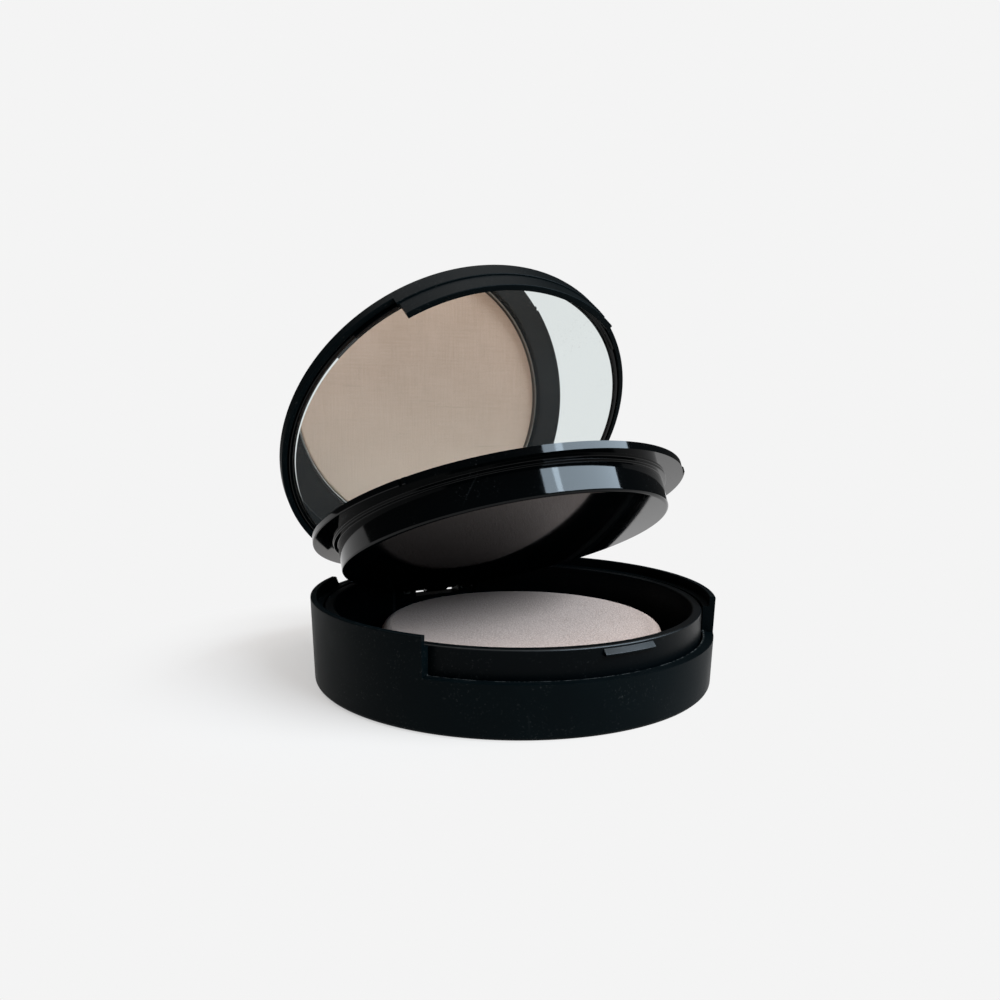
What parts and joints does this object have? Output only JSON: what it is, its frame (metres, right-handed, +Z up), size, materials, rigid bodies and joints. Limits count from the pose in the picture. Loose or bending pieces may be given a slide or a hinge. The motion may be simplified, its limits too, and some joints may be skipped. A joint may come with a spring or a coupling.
{
  "type": "powder compact",
  "caption": "Round black powder compact, opened: base with a loose puff, hinged tray of pressed powder and a lid with a mirror.",
  "frame": {"origin": "centre of the flat underside of the base", "axes": "+Z up, -Y towards the front catch, +Y towards the hinge, +X to the right seen from the front"},
  "size_m": [0.076, 0.0809, 0.0765],
  "materials": {
    "matte_black": "satin moulded ABS, fine texture, worn edges",
    "gloss_black": "polished moulded ABS",
    "sponge": "beige flocked sponge, matte",
    "steel": "bright drawn wire",
    "pan_metal": "pressed sheet",
    "powder": "pressed beige powder, matte, linen-embossed",
    "glue": "clear set adhesive",
    "foam_tape": "white double-sided tape",
    "mirror": "silvered float glass"
  },
  "bodies": {
    "base": {"base_shell": "matte_black", "puff_well": "gloss_black", "puff": "sponge", "hinge_pin": "steel"},
    "tray": {"powder_tray": "gloss_black", "pan_glue": "glue", "powder_pan": "pan_metal", "powder_cake": "powder"},
    "lid": {"lid_shell": "matte_black", "mirror_bezel": "gloss_black", "mirror_glass": "mirror", "mirror_tape": "foam_tape"}
  },
  "joints": [
    {"name": "tray_hinge", "type": "hinge", "parent": "base", "child": "tray", "pos_m": [0, 0.03556, 0.0106], "axis": [-1, 0, 0], "range_deg": [-25, 18]},
    {"name": "lid_hinge", "type": "hinge", "parent": "tray", "child": "lid", "pos_m": [0, 0.03556, 0.0106], "axis": [-1, 0, 0], "range_deg": [-32.4, 29.6]}
  ]
}
